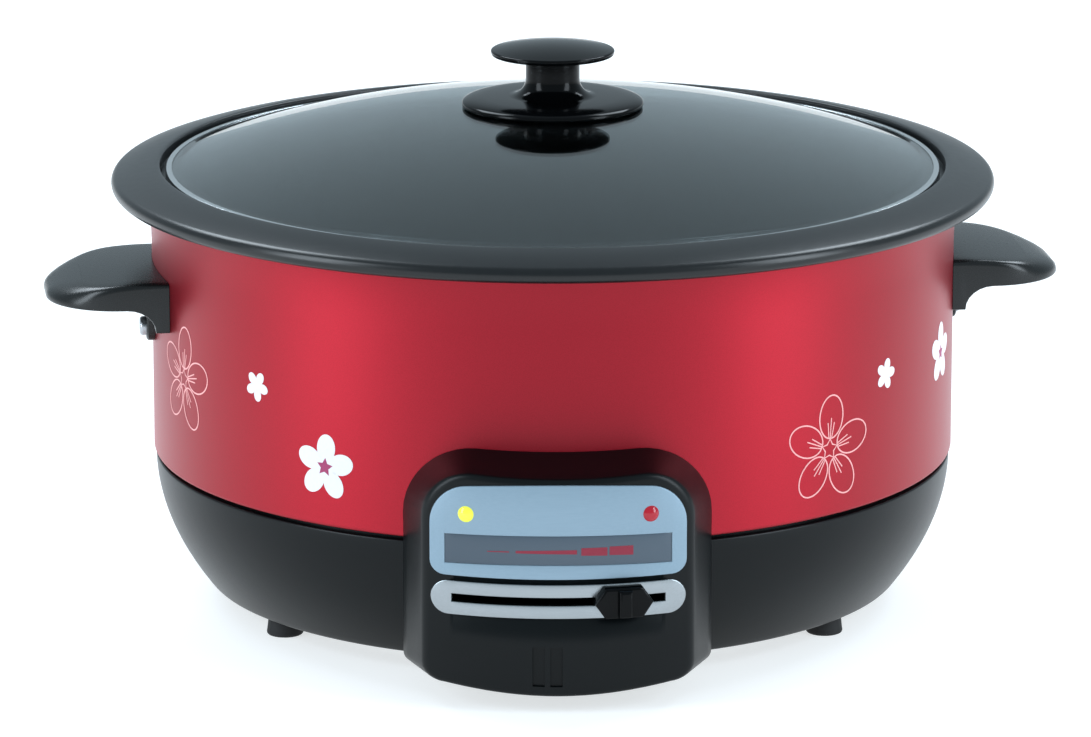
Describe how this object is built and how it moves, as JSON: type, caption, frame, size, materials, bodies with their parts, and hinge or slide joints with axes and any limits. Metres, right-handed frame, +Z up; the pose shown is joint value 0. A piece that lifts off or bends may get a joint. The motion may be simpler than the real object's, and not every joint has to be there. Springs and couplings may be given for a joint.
{
  "type": "electric multicooker",
  "caption": "Round electric multicooker with a lift-out rimmed pot, domed glass lid with knob, side handles, bowl base and slide thermostat panel.",
  "frame": {"origin": "on the table, under the middle of the cooker's bounding box", "axes": "+Z up; the control panel faces -Y; +X is to the right of someone looking at the panel"},
  "size_m": [0.3924, 0.3629, 0.2154],
  "materials": {
    "red_lacquer": "satin metallic red lacquer on steel sheet",
    "black_gloss_plastic": "glossy black moulding",
    "black_handle_plastic": "satin black heat-proof moulding",
    "black_knob_plastic": "polished black heat-proof moulding",
    "nonstick_aluminium": "dark non-stick coating on cast aluminium",
    "lid_glass": "clear tempered glass",
    "band_steel": "bright steel band",
    "silver_blue_plate": "satin silver-blue anodised plate",
    "grey_window": "grey-blue printed acrylic",
    "chrome_plate": "bright chrome",
    "yellow_lens": "clear yellow lens",
    "red_lens": "clear red lens",
    "lamp_glass": "small neon lamp",
    "cast_aluminium": "as-cast and turned",
    "shield_aluminium": "bright rolled sheet",
    "sensor_aluminium": "turned",
    "element_sheath": "dull oxidised sheath",
    "zinc_sheet": "zinc-plated sheet",
    "screw_steel": "zinc-plated",
    "ceramic": "off-white ceramic",
    "pin_brass": "plated brass",
    "wire_insulation": "silicone insulation",
    "black_rubber": "matte rubber"
  },
  "bodies": {
    "housing": {"outer_shell": "red_lacquer", "base_shell": "black_gloss_plastic", "bottom_cover": "zinc_sheet", "cover_screws": "screw_steel", "rubber_feet": "black_rubber", "foot_screws": "screw_steel", "control_housing": "black_gloss_plastic", "panel_screws": "screw_steel", "fascia_plate": "silver_blue_plate", "scale_window": "grey_window", "slot_plate": "chrome_plate", "warm_lamp_lens": "yellow_lens", "heat_lamp_lens": "red_lens", "lamp_bulbs": "lamp_glass", "left_handle": "black_handle_plastic", "right_handle": "black_handle_plastic", "handle_screws": "screw_steel", "handle_nuts": "screw_steel", "heater_plate": "cast_aluminium", "heating_element": "element_sheath", "heater_legs": "zinc_sheet", "leg_screws": "screw_steel", "heat_shield": "shield_aluminium", "thermostat_body": "ceramic", "thermostat_bracket": "zinc_sheet", "bracket_screws": "screw_steel", "thermal_fuse": "ceramic", "sensor_guide": "ceramic", "sensor_spring": "screw_steel", "power_inlet": "black_gloss_plastic", "inlet_pins": "pin_brass", "inlet_screws": "screw_steel", "wiring": "wire_insulation"},
    "pot": {"inner_pot": "nonstick_aluminium"},
    "lid": {"lid_glass": "lid_glass", "lid_band": "band_steel", "knob_washer": "black_rubber", "knob_heat_guard": "black_knob_plastic", "knob_neck": "black_knob_plastic", "knob_cap": "black_knob_plastic", "lid_washer": "screw_steel", "knob_screw": "screw_steel"},
    "slider": {"slider_knob": "black_knob_plastic", "lever_arm": "zinc_sheet", "thermostat_spindle": "screw_steel"},
    "sensor": {"sensor_cap": "sensor_aluminium", "sensor_clip": "screw_steel"}
  },
  "joints": [
    {"name": "pot_lift", "type": "slide", "parent": "housing", "child": "pot", "axis": [0, 0, 1], "range_m": [0, 0.2]},
    {"name": "lid_lift", "type": "slide", "parent": "pot", "child": "lid", "axis": [0, 0, 1], "range_m": [0, 0.15]},
    {"name": "heat_slider", "type": "hinge", "parent": "housing", "child": "slider", "pos_m": [0, -0.066, 0.043], "axis": [0, 0, 1], "range_deg": [-30.5, 6.5]},
    {"name": "sensor_press", "type": "slide", "parent": "housing", "child": "sensor", "axis": [0, 0, 1], "range_m": [-0.003, 0], "stiffness_N_per_m": 400, "springref_m": 0.004, "deforming": ["sensor_spring"]}
  ]
}
